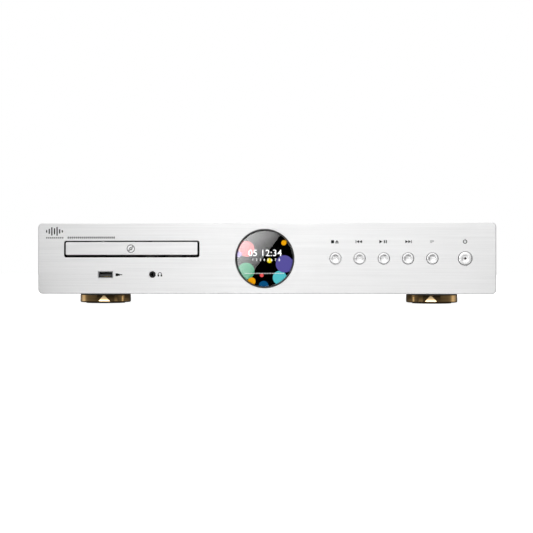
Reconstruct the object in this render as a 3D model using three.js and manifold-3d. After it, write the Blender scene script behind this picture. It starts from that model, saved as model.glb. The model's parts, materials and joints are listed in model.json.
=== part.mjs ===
// A slim full-width CD player with a motorised disc drawer, a round display and six push buttons.
// Millimetres, +Z up, front towards -Y, origin on the table under the middle of the case.
import * as THREE from "three";
import { mergeVertices } from "three/addons/utils/BufferGeometryUtils.js";
import Module from "manifold-3d";

const wasm = await Module();
wasm.setup();

// ---- Driving dimensions ----------------------------------------------------------------------

const WIDTH = 430;
const DEPTH = 300;
const GAP = 0.3; // the air left between pieces that a real assembly would let touch

const BUTTON_PROUD = 0.8;
const PANEL = { front: -DEPTH / 2 + BUTTON_PROUD, thick: 8, bottom: 9.8, top: 76.5, corner: 4.2, edge: 0.6 };
PANEL.back = PANEL.front + PANEL.thick;

const SHEET = 1.2; // steel of the pan, the cover and the rear panel
const PAN = { bottom: 11, halfWidth: 212, flange: 22, rear: 140 };
PAN.top = PAN.bottom + SHEET;
const COVER = { halfWidth: 213.5, top: 75.5, rear: 141.2 };
const SCREW = { z: 24, y: [-100, 100], head: 3.6, shank: 1.7 };

const LIP = 0.8; // how far the metal rim of a foot stays above the table
const FRONT_FOOT = { radius: 24.7, pad: 19, y: -101 };
const REAR_FOOT = { radius: 17, pad: 12.5, y: 100 };
const FEET = {
  front_left: { ...FRONT_FOOT, x: -160 },
  front_right: { ...FRONT_FOOT, x: 160 },
  rear_left: { ...REAR_FOOT, x: -190 },
  rear_right: { ...REAR_FOOT, x: 190 },
};

const DISPLAY = { x: 0, z: 43, hole: 27.7, ring: 27.5, glass: 26.2 };
const BUTTON = { z: 43, first: 66.2, pitch: 22.5, radius: 5.2, hole: 5.6 };
const POWER = { x: 186.5, radius: 6.2, hole: 6.6, light: 0.9 };
const STEM_END = -137.6;
const USB = { x: -150.6, z: 27.9, width: 14.2, height: 6.4 };
const JACK = { x: -106, z: 28, hole: 3.1, bore: 1.85 };

const DRAWER = { x: -126, left: -190.1, right: -61.6, bottom: 44.2, top: 59.8 };
const DOOR = { halfWidth: 62.8, bottom: 46.45, top: 58.75, thick: 4 };
const TRAY = { halfWidth: 62.5, under: 50, top: 56, rear: 22, discY: -80, recess: 60.6 };
const TRAY_FRONT = PANEL.front + DOOR.thick;

// Gears: 25 degree pressure angle and stub teeth, so that ten teeth need no undercut.
const PRESSURE = (25 * Math.PI) / 180;
const ADDENDUM = 0.8;
const DEDENDUM = 1.0;
const BACKLASH = 0.2;
const DRIVE = { module: 1.5, rackX: -71, gearTeeth: 12, gearY: -117, pinionTeeth: 10, z0: 46.6, z1: 49.6 };
const SLED = { module: 0.8, rackX: -105, gearTeeth: 16, gearY: -40, z0: 43, z1: 45.4 };

// The loader's frame, and the cradle that tilts on it to lift the disc off the drawer.
const FRAME = { left: -193, right: -59, wall: 3, front: -138.5, rear: 38, bottom: 20, top: 62, deck: 40 };
const CRADLE = { pivotY: 10, pivotZ: 42, dropAngle: 6, left: -158, right: -94, front: -98, rear: 14 };
const DISC_BOTTOM = 56.2; // of a disc on the raised turntable
const ROD = { offset: 15, radius: 1.5, z: 45, front: -69.5, rear: 7.5 };
const LENS_Y = -57;
const MOTOR = { x: -114, y: -112, radius: 12 };
const PULLEY_Z = [42.6, 43.4, 45.4, 46.2];

const BOARD = { x0: -40, x1: 95, y0: 20, y1: 132, z: 18, thick: 1.6 };
const SOCKET_Z = 34;
const TOROID = { x: 150, y: -48, inner: 14, outer: 44, bottom: 13.5, top: 50.5 };
const INLET = { x: 165, z: 43 };

// ---- Materials -------------------------------------------------------------------------------

const finish = (color, metalness, roughness) => new THREE.MeshStandardMaterial({ color, metalness, roughness });
const brushedAluminium = finish(0xe6e6e6, 1.0, 0.35);
const coverPaint = finish(0xc9cacb, 0.6, 0.45);
const zincSteel = finish(0xb4b7ba, 0.9, 0.4);
const goldAnodised = finish(0xa87a3c, 1.0, 0.3);
const rubber = finish(0x1c1c1c, 0.0, 0.9);
const darkRing = finish(0x3a3a3c, 0.9, 0.3);
const glass = finish(0x101214, 0.0, 0.05);
const blackPlastic = finish(0x141414, 0.0, 0.5);
const greyPlastic = finish(0x4a4c4f, 0.0, 0.6);
const whitePlastic = finish(0xe9e6dc, 0.0, 0.5);
const boardGreen = finish(0x1f5a38, 0.0, 0.5);
const copperWinding = finish(0xd0a030, 0.2, 0.4);
const goldPlate = finish(0xd4af37, 1.0, 0.25);
const lensBlue = finish(0x6f87c9, 0.1, 0.05);

// ---- Shape helpers ---------------------------------------------------------------------------

// A box between two corners.
function block(x0, x1, y0, y1, z0, z1) {
  return new THREE.BoxGeometry(x1 - x0, y1 - y0, z1 - z0).translate((x0 + x1) / 2, (y0 + y1) / 2, (z0 + z1) / 2);
}

// A rectangle with round corners, as a Shape or as a hole's Path.
function roundedRect(x0, x1, y0, y1, r, Kind = THREE.Shape) {
  const s = new Kind();
  s.moveTo(x0 + r, y0).lineTo(x1 - r, y0).absarc(x1 - r, y0 + r, r, -Math.PI / 2, 0, false);
  s.lineTo(x1, y1 - r).absarc(x1 - r, y1 - r, r, 0, Math.PI / 2, false);
  s.lineTo(x0 + r, y1).absarc(x0 + r, y1 - r, r, Math.PI / 2, Math.PI, false);
  s.lineTo(x0, y0 + r).absarc(x0 + r, y0 + r, r, Math.PI, 1.5 * Math.PI, false);
  return s;
}

// An outline in X and Y, made solid between two heights.
function upright(shape, z0, z1, curveSegments = 4) {
  return new THREE.ExtrudeGeometry(shape, { depth: z1 - z0, bevelEnabled: false, curveSegments }).translate(0, 0, z0);
}

// An outline in X and Z, made solid between two depths, with an optional chamfer round both faces.
function facing(shape, y0, y1, curveSegments = 4, chamfer = 0) {
  const options = { depth: y1 - y0 - 2 * chamfer, bevelEnabled: chamfer > 0, curveSegments };
  Object.assign(options, { bevelThickness: chamfer, bevelSize: chamfer, bevelOffset: -chamfer, bevelSegments: 1 });
  return new THREE.ExtrudeGeometry(shape, options).rotateX(Math.PI / 2).translate(0, y1 - chamfer, 0);
}

// A profile of [radius, height] turned about a vertical axis, or of [radius, depth] about an axis along Y.
function turned(profile, segments, x = 0, y = 0) {
  const points = profile.map(([r, h]) => new THREE.Vector2(r, h));
  return new THREE.LatheGeometry(points, segments).rotateX(Math.PI / 2).translate(x, y, 0);
}
function turnedY(profile, segments, x = 0, z = 0) {
  const points = profile.map(([r, y]) => new THREE.Vector2(r, y));
  return new THREE.LatheGeometry(points, segments).translate(x, 0, z);
}

// Plain cylinders along Z, Y and X.
function rodZ(x, y, r, z0, z1, segments = 16) {
  return new THREE.CylinderGeometry(r, r, z1 - z0, segments).rotateX(Math.PI / 2).translate(x, y, (z0 + z1) / 2);
}
function rodY(x, z, r, y0, y1, segments = 16) {
  return new THREE.CylinderGeometry(r, r, y1 - y0, segments).translate(x, (y0 + y1) / 2, z);
}
function rodX(y, z, r, x0, x1, segments = 16) {
  return new THREE.CylinderGeometry(r, r, x1 - x0, segments).rotateZ(Math.PI / 2).translate((x0 + x1) / 2, y, z);
}

// Geometry to a manifold solid and back.
function solid(geometry) {
  const bare = geometry.clone();
  bare.deleteAttribute("normal");
  bare.deleteAttribute("uv");
  const merged = mergeVertices(bare, 1e-4);
  const vertProperties = merged.attributes.position.array;
  const triVerts = new Uint32Array(merged.index.array);
  return new wasm.Manifold(new wasm.Mesh({ numProp: 3, vertProperties, triVerts }));
}
function geometryOf(manifold) {
  const { vertProperties, triVerts } = manifold.getMesh();
  const made = new THREE.BufferGeometry();
  made.setAttribute("position", new THREE.BufferAttribute(new Float32Array(vertProperties), 3));
  made.setIndex(new THREE.BufferAttribute(new Uint32Array(triVerts), 1));
  return made;
}

// The union of some geometries, less some others.
function shaped(joined, removed = []) {
  const body = joined.map(solid).reduce((a, b) => a.add(b));
  return geometryOf(removed.map(solid).reduce((a, b) => a.subtract(b), body));
}

// ---- Gears -----------------------------------------------------------------------------------

// An involute gear's outline, with one tooth centred on +X and a hole for its axle.
function gearOutline(teeth, module, bore) {
  const pitch = (module * teeth) / 2;
  const base = pitch * Math.cos(PRESSURE);
  const root = pitch - DEDENDUM * module;
  const tip = pitch + ADDENDUM * module;
  const involute = (a) => Math.tan(a) - a;
  const halfAtPitch = ((Math.PI * module) / 2 - BACKLASH) / (2 * pitch) + involute(PRESSURE);
  const halfAngle = (r) => halfAtPitch - involute(Math.acos(Math.min(1, base / r)));
  const start = Math.max(base, root);
  const flank = start > root + 1e-6 ? [root, start, tip] : [root, (start + tip) / 2, tip];
  const shape = new THREE.Shape();
  for (let i = 0; i < teeth; i++) {
    const centre = (2 * Math.PI * i) / teeth;
    const rising = flank.map((r) => [r, centre - halfAngle(Math.max(r, start))]);
    const falling = flank.map((r) => [r, centre + halfAngle(Math.max(r, start))]).reverse();
    for (const [r, a] of [...rising, ...falling]) {
      const at = [r * Math.cos(a), r * Math.sin(a)];
      if (i === 0 && shape.curves.length === 0 && r === root && a < centre) shape.moveTo(...at);
      else shape.lineTo(...at);
    }
  }
  shape.holes.push(new THREE.Path().absarc(0, 0, bore, 0, 2 * Math.PI, true));
  return shape;
}

// A rack along Y from y0 to y1, with a gap at gapY. Its teeth point towards `side` times X.
function rackOutline(module, pitchX, backX, gapY, y0, y1, side) {
  const step = Math.PI * module;
  const half = (step / 2 - BACKLASH) / 2;
  const rootX = pitchX - side * DEDENDUM * module;
  const tipX = pitchX + side * ADDENDUM * module;
  const halfRoot = half + DEDENDUM * module * Math.tan(PRESSURE);
  const halfTip = half - ADDENDUM * module * Math.tan(PRESSURE);
  const shape = new THREE.Shape().moveTo(backX, y0).lineTo(rootX, y0);
  const first = Math.ceil((y0 + halfRoot - gapY) / step - 0.5);
  for (let y = gapY + (first + 0.5) * step; y + halfRoot < y1; y += step) {
    shape.lineTo(rootX, y - halfRoot).lineTo(tipX, y - halfTip).lineTo(tipX, y + halfTip).lineTo(rootX, y + halfRoot);
  }
  return shape.lineTo(rootX, y1).lineTo(backX, y1).closePath();
}

// ---- The case --------------------------------------------------------------------------------

const buttonXs = [0, 1, 2, 3, 4].map((i) => BUTTON.first + i * BUTTON.pitch);

function frontPanel() {
  const { front, back, bottom, top, corner, edge } = PANEL;
  const blank = facing(roundedRect(-WIDTH / 2, WIDTH / 2, bottom, top, corner), front, back, 4, edge);
  const holes = [
    facing(roundedRect(DRAWER.left, DRAWER.right, DRAWER.bottom, DRAWER.top, 2), front - 1, back + 1, 3),
    block(USB.x - USB.width / 2, USB.x + USB.width / 2, front - 1, back + 1, USB.z - USB.height / 2, USB.z + USB.height / 2),
    rodY(JACK.x, JACK.z, JACK.hole, front - 1, back + 1, 16),
    rodY(DISPLAY.x, DISPLAY.z, DISPLAY.hole, front - 1, back + 1, 48),
    rodY(POWER.x, BUTTON.z, POWER.hole, front - 1, back + 1, 20),
    ...buttonXs.map((x) => rodY(x, BUTTON.z, BUTTON.hole, front - 1, back + 1, 16)),
  ];
  return shaped([blank], holes);
}

// Floor, side flanges and a front flange with windows, folded from one sheet, with posts for the boards.
function basePan() {
  const { halfWidth, bottom, top, flange, rear } = PAN;
  const flangeBack = PANEL.back + SHEET;
  const parts = [
    block(-halfWidth, halfWidth, PANEL.back + 0.4, rear, bottom, top),
    block(-halfWidth, -halfWidth + SHEET, PANEL.back + 0.4, rear, bottom, top + flange),
    block(halfWidth - SHEET, halfWidth, PANEL.back + 0.4, rear, bottom, top + flange),
    block(-209, 209, PANEL.back, flangeBack, bottom, 72),
  ];
  const window = (x0, x1, z0, z1) => block(x0, x1, PANEL.back - 1, flangeBack + 1, z0, z1);
  const cuts = [
    window(DRAWER.left - 2, DRAWER.right + 2, DRAWER.bottom - 2, DRAWER.top + 2),
    window(-162, -96, 20, 36),
    rodY(DISPLAY.x, DISPLAY.z, 28.5, PANEL.back - 1, flangeBack + 1, 32),
    window(58, 197, 34, 52),
    ...screwHoles(),
  ];
  return shaped(parts, cuts);
}

// Clearance holes for the four side screws, through the cover and the pan's flanges.
function screwHoles() {
  const reach = [-COVER.halfWidth - 1, COVER.halfWidth + 1];
  return SCREW.y.map((y) => rodX(y, SCREW.z, SCREW.shank + GAP, ...reach, 8));
}

// Top and both sides in one folded sheet, with cooling slots over the transformer.
function topCover() {
  const { halfWidth, top, rear } = COVER;
  const outer = block(-halfWidth, halfWidth, PANEL.back, rear, PAN.bottom, top);
  const inside = block(-halfWidth + SHEET, halfWidth - SHEET, PANEL.back - 1, rear + 1, PAN.bottom - 1, top - SHEET);
  const slots = [];
  for (let i = 0; i < 9; i++) {
    const x = TOROID.x - 36 + 9 * i;
    slots.push(upright(roundedRect(x - 1.75, x + 1.75, -75, -21, 1.5), top - SHEET - 1, top + 1, 1));
  }
  return shaped([outer], [inside, ...slots, ...screwHoles()]);
}

function rearPanel() {
  const half = PAN.halfWidth - SHEET - 0.2;
  const plate = facing(roundedRect(-half, half, PAN.top + 0.2, COVER.top - SHEET - 0.2, 1), PAN.rear - SHEET, PAN.rear);
  const reach = [PAN.rear - SHEET - 1, PAN.rear + 1];
  const sockets = rcaXs.map((x) => rodY(x, SOCKET_Z, 4.9, ...reach, 16));
  const optical = block(OPTICAL.x - 6.2, OPTICAL.x + 6.2, ...reach, SOCKET_Z - 5.2, SOCKET_Z + 5.2);
  const inlet = facing(roundedRect(INLET.x - 13.9, INLET.x + 13.9, INLET.z - 10.2, INLET.z + 10.2, 2), ...reach, 2);
  return shaped([plate], [...sockets, optical, inlet]);
}

// A turned foot: straight side, chamfered foot edge and a recess for its pad.
function foot({ radius, pad, x, y }) {
  const top = PAN.bottom;
  const profile = [
    [0, 2.2],
    [pad + GAP, 2.2],
    [pad + GAP, LIP],
    [radius - 1.7, LIP],
    [radius, LIP + 1.7],
    [radius, top],
    [0, top],
  ];
  return turned(profile, 28, x, y);
}

function coverScrew(x, y) {
  const side = Math.sign(x);
  const { z, head, shank } = SCREW;
  const from = COVER.halfWidth;
  const cap = rodX(y, z, head, from, WIDTH / 2, 12);
  const thread = rodX(y, z, shank, from - 6, from + 0.5, 8);
  const made = shaped([cap, thread]);
  return side > 0 ? made : geometryOf(solid(made).mirror([1, 0, 0]));
}

// ---- Front controls, display and sockets -----------------------------------------------------

// A button turned about Y: dished face, body, retaining collar behind the panel and a stem.
function buttonProfile(radius, dish, bore) {
  const face = PANEL.front - BUTTON_PROUD;
  const collar = PANEL.back + GAP;
  const outside = [
    [bore, face + dish],
    [radius * 0.4, face + dish * 0.8],
    [radius * 0.76, face],
    [radius - 0.3, face],
    [radius, collar],
    [radius + 1.6, collar],
    [radius + 1.6, collar + 1],
    [2, collar + 1],
    [2, STEM_END],
  ];
  return bore ? [...outside, [bore, STEM_END], outside[0]] : [...outside, [0, STEM_END]];
}

function displayModule() {
  const { x, z, glass } = DISPLAY;
  const disc = rodY(x, z, glass - 0.2, -146.4, PANEL.back + 2, 36);
  const can = block(x - 31, x + 31, PANEL.back + SHEET + 0.4, -133.5, z - 29, z + 29);
  return shaped([disc, can]);
}

function controlBoard() {
  const { z } = BUTTON;
  const face = -131;
  const arm = (x, z) => rodY(x, z, 2.5, PANEL.back + SHEET + GAP, face + 0.5, 8);
  const parts = [block(52, 205, face, face + 1.6, 22, 66), arm(56, 62), arm(201, 62), arm(56, 26), arm(201, 26)];
  for (const x of [...buttonXs, POWER.x]) {
    parts.push(block(x - 3, x + 3, face - 3.6, face + 0.5, z - 3, z + 3));
    parts.push(rodY(x, z, 1.7, face - 5, face - 3, 8));
  }
  return shaped(parts);
}

function usbShell() {
  const box = (grow, y0, y1) => block(USB.x - 6.35 - grow, USB.x + 6.35 + grow, y0, y1, USB.z - 2.6 - grow, USB.z + 2.6 + grow);
  return shaped([box(0.4, -148.7, -132)], [box(0, -150, -132.4)]);
}

function usbTongue() {
  const blade = block(USB.x - 5.6, USB.x + 5.6, -147.4, -134, USB.z - 1.7, USB.z + 0.2);
  const root = block(USB.x - 6, USB.x + 6, -135.5, -132.8, USB.z - 2.3, USB.z + 2.3);
  return shaped([blade, root]);
}

function headphoneJack() {
  const { x, z, bore } = JACK;
  const barrel = rodY(x, z, 2.85, -148.9, -139, 20);
  const housing = block(x - 6, x + 6, PANEL.back + SHEET + 0.4, -127, z - 6, z + 6);
  return shaped([barrel, housing], [rodY(x, z, bore, -150, -131, 12)]);
}

// ---- The drawer and its drive ----------------------------------------------------------------

// Tray with a stepped disc recess, a slot for the turntable and lens, and the drive rack under its right side.
function discTray() {
  const { halfWidth, under, top, rear, discY, recess } = TRAY;
  const { x } = DRAWER;
  const plan = new THREE.Shape().moveTo(x - halfWidth, TRAY_FRONT).lineTo(x + halfWidth, TRAY_FRONT);
  plan.lineTo(x + halfWidth, rear - 6).absarc(x + halfWidth - 6, rear - 6, 6, 0, Math.PI / 2, false);
  plan.lineTo(x - halfWidth + 6, rear).absarc(x - halfWidth + 6, rear - 6, 6, Math.PI / 2, Math.PI, false);
  const rackEnds = [DRIVE.gearY - 8, rear - 2];
  const rack = rackOutline(DRIVE.module, DRIVE.rackX, DRIVE.rackX + 4.5, DRIVE.gearY, ...rackEnds, -1);
  const lensSlot = roundedRect(x - 14, x + 14, discY, discY + 66, 4);
  return shaped(
    [upright(plan, under, top, 4), upright(rack, DRIVE.z0 + 0.2, under + 0.5)],
    [
      rodZ(x, discY, recess, 52.5, top + 1, 64),
      rodZ(x, discY, 40.6, 51.3, top + 1, 40),
      rodZ(x, discY, 18, under - 1, top + 1, 24),
      upright(lensSlot, under - 1, top + 1, 2),
    ],
  );
}

function trayDoor() {
  const { halfWidth, bottom, top } = DOOR;
  const outline = roundedRect(DRAWER.x - halfWidth, DRAWER.x + halfWidth, bottom, top, 1.2);
  return facing(outline, PANEL.front, TRAY_FRONT, 2, 0.4);
}

// The pulley's pinion meshes 120 degrees round the tray gear from the rack, where the gear has a tooth.
const gearX = DRIVE.rackX - (DRIVE.module * DRIVE.gearTeeth) / 2;
const MESH_ANGLE = (2 * Math.PI) / 3;
const gearCentres = (DRIVE.module * (DRIVE.gearTeeth + DRIVE.pinionTeeth)) / 2;
const pulleyX = gearX + gearCentres * Math.cos(MESH_ANGLE);
const pulleyY = DRIVE.gearY + gearCentres * Math.sin(MESH_ANGLE);

function trayGear() {
  return upright(gearOutline(DRIVE.gearTeeth, DRIVE.module, 2.4), DRIVE.z0, DRIVE.z1, 4).translate(gearX, DRIVE.gearY, 0);
}

// A grooved pulley: rims at `rim`, belt groove at `groove`.
function pulleyProfile(rim, groove, bore) {
  const [z0, z1, z2, z3] = PULLEY_Z;
  return [
    [bore, z0],
    [rim, z0],
    [rim, z1],
    [groove, z1 + 0.5],
    [groove, z2 - 0.5],
    [rim, z2],
    [rim, z3],
    [bore, z3],
    [bore, z0],
  ];
}

function pulleyGear() {
  const pinion = upright(gearOutline(DRIVE.pinionTeeth, DRIVE.module, 2.2), PULLEY_Z[3] - 0.2, DRIVE.z1, 4);
  pinion.rotateZ(MESH_ANGLE - Math.PI + Math.PI / DRIVE.pinionTeeth);
  const wheel = turned(pulleyProfile(12.5, 11.3, 2.2), 24);
  return shaped([wheel, pinion], [rodZ(0, 0, 2.3, 40, 52, 12)]).translate(pulleyX, pulleyY, 0);
}

// The belt runs round both pulleys on its two outer tangents.
function driveBelt() {
  const from = new THREE.Vector2(MOTOR.x, MOTOR.y);
  const to = new THREE.Vector2(pulleyX, pulleyY);
  const along = to.clone().sub(from);
  const heading = along.angle();
  const loop = (small, large, Kind) => {
    const lean = Math.acos((small - large) / along.length());
    const path = new Kind();
    path.absarc(from.x, from.y, small, heading + lean, heading - lean + 2 * Math.PI, false);
    path.absarc(to.x, to.y, large, heading - lean, heading + lean, false);
    path.closePath();
    return path;
  };
  const belt = loop(3.9, 12.8, THREE.Shape);
  belt.holes.push(loop(2.8, 11.7, THREE.Path));
  return upright(belt, 43.95, 44.85, 8);
}

function loadingMotor() {
  const can = rodZ(MOTOR.x, MOTOR.y, MOTOR.radius, 24, FRAME.deck - GAP, 20);
  return shaped([can, rodZ(MOTOR.x, MOTOR.y, 0.9, 39, 45.5, 8)]);
}

// Side walls with drawer guides, a floor, a gear deck with its axles, and brackets for the cradle's pivot pins.
function loaderFrame() {
  const { left, right, wall, front, rear, bottom, top, deck } = FRAME;
  const floorTop = bottom + 2.5;
  const { pivotY, pivotZ } = CRADLE;
  const bracket = (x0, x1) => block(x0, x1, pivotY - 6, pivotY + 6, floorTop - 0.5, pivotZ + 6);
  const leg = (x, y) => rodZ(x, y, 4, PAN.top, bottom + 0.5, 8);
  const parts = [
    block(left, left + wall, front, rear, bottom, top),
    block(right - wall, right, front, rear, bottom, top),
    block(left, right, -118, rear, bottom, floorTop),
    block(left, right, rear - wall, rear, bottom, TRAY.under - 2),
    block(left + wall - 0.5, left + wall + 2.5, front, rear, TRAY.under - 3, TRAY.under - GAP),
    block(right - wall - 2.5, right - wall + 0.5, front, rear, TRAY.under - 3, TRAY.under - GAP),
    block(left + wall - 0.5, left + wall + 2.5, front, rear, TRAY.top + 0.4, TRAY.top + 2.4),
    block(right - wall - 2.5, right - wall + 0.5, front, rear, TRAY.top + 0.4, TRAY.top + 2.4),
    block(-128, right - 1, -128, -100, deck, deck + 2),
    block(-92.5, right - 1, -101, -86, deck, deck + 2),
    block(-88, -84, -116, -104, floorTop - 0.5, deck + 0.5),
    rodZ(gearX, DRIVE.gearY, 2, deck + 1, DRIVE.z1, 12),
    rodZ(pulleyX, pulleyY, 2, deck + 1, DRIVE.z1, 12),
    bracket(CRADLE.left - 7, CRADLE.left - 2),
    bracket(CRADLE.right + 2, CRADLE.right + 7),
    leg(left + 5, -110),
    leg(right - 5, -110),
    leg(left + 5, rear - 8),
    leg(right - 5, rear - 8),
  ];
  const holes = [rodZ(MOTOR.x, MOTOR.y, 3, deck - 1, deck + 3, 14), rodX(pivotY, pivotZ, 2.4, left + 20, right - 20, 16)];
  return shaped(parts, holes);
}

function clampBridge() {
  const { left, right, top } = FRAME;
  const plan = roundedRect(left, right, TRAY.discY - 18, TRAY.discY + 18, 3);
  plan.holes.push(new THREE.Path().absarc(DRAWER.x, TRAY.discY, 10, 0, 2 * Math.PI, true));
  return upright(plan, top + 0.2, top + 1.7, 5);
}

// The puck hangs in the bridge by its top flange and clamps the disc's middle from above.
function clampPuck() {
  const profile = [
    [0, 60],
    [8, 60],
    [8, 57.2],
    [15, 57.2],
    [15, 59.7],
    [8.8, 59.7],
    [8.8, 64],
    [13, 64],
    [13, 65.7],
    [0, 65.7],
  ];
  return turned(profile, 24, DRAWER.x, TRAY.discY);
}

// ---- The cradle: turntable, rods and pickup, in the raised position ----------------------------

function cradlePlate() {
  const { left, right, front, rear, pivotY, pivotZ } = CRADLE;
  const { x } = DRAWER;
  const plate = block(left, right, front, rear, 40, 42);
  const post = (side, y0, y1) => block(x + side * ROD.offset - 2.6, x + side * ROD.offset + 2.6, y0, y1, 41.5, 47.6);
  const ear = (x0, x1) => block(x0, x1, pivotY - 4, pivotY + 4, 40, 46);
  const parts = [
    plate,
    post(-1, -70, -66.4),
    post(1, -70, -66.4),
    post(-1, 4.4, 8),
    post(1, 4.4, 8),
    ear(left, left + 4),
    ear(right - 4, right),
    rodX(pivotY, pivotZ, 2, left - 6, left + 1, 16),
    rodX(pivotY, pivotZ, 2, right - 1, right + 6, 16),
  ];
  const cuts = [
    block(x - 19, x + 19, -66, 6, 39, 43),
    rodY(x - ROD.offset, ROD.z, ROD.radius + 0.25, -71, 9, 12),
    rodY(x + ROD.offset, ROD.z, ROD.radius + 0.25, -71, 9, 12),
    rodZ(sledGearX, SLED.gearY, 2, 39, 43, 12),
    rodZ(x, TRAY.discY, 5, 39, 43, 16),
  ];
  return shaped(parts, cuts);
}

const sledGearX = SLED.rackX + (SLED.module * SLED.gearTeeth) / 2;

function spindleMotor() {
  const profile = [
    [0, 38],
    [4.5, 38],
    [4.5, 42 + GAP],
    [12, 42 + GAP],
    [12, 50.8],
    [11, 51.8],
    [1, 51.8],
    [1, 55],
    [0, 55],
  ];
  return turned(profile, 20, DRAWER.x, TRAY.discY);
}

// The turntable's cone centres the disc's hole, and its platter carries the disc.
function turntable() {
  const profile = [
    [0, 55.4],
    [1.2, 55.4],
    [1.2, 52.2],
    [15, 52.2],
    [15, DISC_BOTTOM],
    [7.4, DISC_BOTTOM],
    [7.4, DISC_BOTTOM + 1.2],
    [5.5, DISC_BOTTOM + 2],
    [0, DISC_BOTTOM + 2],
  ];
  return turned(profile, 24, DRAWER.x, TRAY.discY);
}

// The pickup slides on both rods and is pushed by a rack on its right side.
function pickupBody() {
  const { x } = DRAWER;
  const body = block(x - 18.2, x + 18.2, -64, -34, 41, 49.4);
  const rackEnds = [SLED.gearY - 38.5, SLED.gearY + 5];
  const rack = rackOutline(SLED.module, SLED.rackX, SLED.rackX - 3, SLED.gearY, ...rackEnds, 1);
  const turret = rodZ(x, LENS_Y, 6.3, 49, 53.7, 16);
  return shaped(
    [body, upright(rack, SLED.z0 + 0.2, SLED.z1 + 0.2), turret],
    [
      rodY(x - ROD.offset, ROD.z, ROD.radius + 0.25, -65, -33, 12),
      rodY(x + ROD.offset, ROD.z, ROD.radius + 0.25, -65, -33, 12),
      rodZ(x, LENS_Y, 4, 52.6, 55, 14),
    ],
  );
}

function lens() {
  const profile = [
    [0, 52.9],
    [3.7, 52.9],
    [3.7, 53.8],
    [2.2, 54.5],
    [0, 54.5],
  ];
  return turned(profile, 14, DRAWER.x, LENS_Y);
}

function sledMotor() {
  const can = rodZ(sledGearX, SLED.gearY, 6, 30, 40 - GAP, 14);
  return shaped([can, rodZ(sledGearX, SLED.gearY, 1, 39, 45.2, 8)]);
}

function sledGear() {
  return upright(gearOutline(SLED.gearTeeth, SLED.module, 1.3), SLED.z0, SLED.z1, 4).translate(sledGearX, SLED.gearY, 0);
}

// ---- Electronics and rear sockets ------------------------------------------------------------

const rcaXs = [70, 46, 12];
const OPTICAL = { x: -16 };

function transformerCore() {
  const { inner, outer, bottom, top, x, y } = TOROID;
  const round = 5;
  const profile = [
    [inner, bottom + round],
    [inner + round, bottom],
    [outer - round, bottom],
    [outer, bottom + round],
    [outer, top - round],
    [outer - round, top],
    [inner + round, top],
    [inner, top - round],
    [inner, bottom + round],
  ];
  return turned(profile, 28, x, y);
}

function mainBoard() {
  const { x0, x1, y0, y1, z, thick } = BOARD;
  const inset = 5;
  const post = (x, y) => rodZ(x, y, 3, PAN.top + GAP, z + 0.2, 8);
  const chip = (x, y, sx, sy, h) => block(x - sx / 2, x + sx / 2, y - sy / 2, y + sy / 2, z + thick - 0.2, z + thick + h);
  return shaped([
    block(x0, x1, y0, y1, z, z + thick),
    post(x0 + inset, y0 + inset),
    post(x1 - inset, y0 + inset),
    post(x0 + inset, y1 - inset),
    post(x1 - inset, y1 - inset),
    chip(-12, 60, 20, 20, 1.8),
    chip(-14, 92, 14, 10, 1.6),
    chip(20, 98, 10, 10, 1.6),
    chip(40, 98, 10, 10, 1.6),
    chip(-30, 34, 6, 22, 7),
  ]);
}

function capacitor(x, y) {
  const bottom = BOARD.z + BOARD.thick;
  const profile = [
    [0, bottom],
    [11, bottom],
    [11, bottom + 31],
    [10, bottom + 32],
    [0, bottom + 32],
  ];
  return turned(profile, 20, x, y);
}

// A comb of fins, extruded upwards.
function heatSink() {
  const [x0, y0, back, finLength, finPitch] = [68, 66, 4, 16, 6];
  const comb = new THREE.Shape().moveTo(x0, y0);
  const fins = 7;
  for (let i = 0; i < fins; i++) {
    const y = y0 + i * finPitch;
    comb.lineTo(x0 + back + finLength, y).lineTo(x0 + back + finLength, y + 2).lineTo(x0 + back, y + 2);
    if (i < fins - 1) comb.lineTo(x0 + back, y + finPitch);
  }
  comb.lineTo(x0, y0 + (fins - 1) * finPitch + 2).closePath();
  return upright(comb, BOARD.z + BOARD.thick, 48);
}

function rcaSocket(x) {
  const profile = [
    [0, 124],
    [4.6, 124],
    [4.6, PAN.rear],
    [6.4, PAN.rear],
    [6.4, PAN.rear + 2],
    [4.1, PAN.rear + 2],
    [4.1, DEPTH / 2],
    [1.6, DEPTH / 2],
    [1.6, 138],
    [0, 138],
  ];
  return turnedY(profile, 16, x, SOCKET_Z);
}

function opticalSocket() {
  const around = (grow, y0, y1) =>
    block(OPTICAL.x - 4.9 - grow, OPTICAL.x + 4.9 + grow, y0, y1, SOCKET_Z - 4.2 - grow, SOCKET_Z + 4.2 + grow);
  return shaped([around(2.4, PAN.rear, 141.4), around(0.9, 126, PAN.rear + 0.5)], [around(0, 133, 143)]);
}

// Appliance inlet: flange outside the rear panel and a deep socket.
function mainsInlet() {
  const { x, z } = INLET;
  const rim = facing(roundedRect(x - 25, x + 25, z - 11.5, z + 11.5, 3), PAN.rear, PAN.rear + 2.5, 3);
  const body = facing(roundedRect(x - 13.6, x + 13.6, z - 9.9, z + 9.9, 2), 118, PAN.rear + 0.5, 2);
  const cavity = facing(roundedRect(x - 12.2, x + 12.2, z - 8.4, z + 8.4, 2.5), 126, PAN.rear + 4, 3);
  return shaped([rim, body], [cavity]);
}

// Three blades on the carrier that closes the inlet's bottom.
function inletBlades() {
  const { x, z } = INLET;
  const carrier = block(x - 10, x + 10, 126 + GAP, 127.5, z - 6, z + 6);
  const blade = (dx, dz) => block(x + dx - 1, x + dx + 1, 127, 138, z + dz - 2, z + dz + 2);
  return shaped([carrier, blade(-7, -2), blade(7, -2), blade(0, 2)]);
}

// ---- Assembly --------------------------------------------------------------------------------

const player = new THREE.Group();

function add(parent, name, geometry, material) {
  const mesh = new THREE.Mesh(geometry, material);
  mesh.name = name;
  parent.add(mesh);
}

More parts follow.
